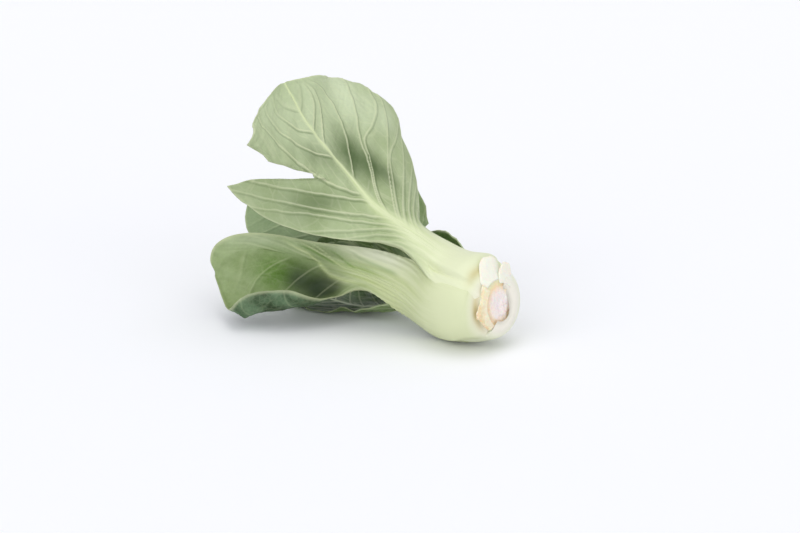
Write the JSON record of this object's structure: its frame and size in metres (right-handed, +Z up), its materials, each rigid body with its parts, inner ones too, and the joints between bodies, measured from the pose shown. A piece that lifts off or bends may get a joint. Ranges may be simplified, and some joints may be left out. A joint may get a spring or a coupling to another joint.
{
  "type": "bok choy head",
  "caption": "Head of baby bok choy lying on its side: pale bulbous leaf stalks round a cut base, opening into broad green leaf blades.",
  "frame": {"origin": "middle of the footprint, on the surface the head lies on", "axes": "+Z up, the cut end towards +X and the leaf tips towards -X"},
  "size_m": [0.1902, 0.141, 0.1423],
  "materials": {
    "outer_leaf": "waxy, pale green-white on the stalk, grey-green on the blade",
    "inner_leaf": "waxy, fresh green",
    "cut_stem": "freshly cut, moist and matt, faintly pink",
    "stub": "trimmed leaf base, white, drying to straw colour at the rim"
  },
  "bodies": {
    "root": {"stem_base": "cut_stem", "stub_flap": "stub", "stub_front": "stub", "stub_tab": "stub", "leaf_top": "outer_leaf", "leaf_front": "outer_leaf", "leaf_under": "outer_leaf", "leaf_third": "outer_leaf", "leaf_bottom": "outer_leaf", "leaf_far_top": "outer_leaf", "leaf_far": "inner_leaf", "leaf_front_low": "inner_leaf", "leaf_inner_top": "inner_leaf", "leaf_heart_far": "inner_leaf", "leaf_heart_near": "inner_leaf"}
  },
  "joints": []
}
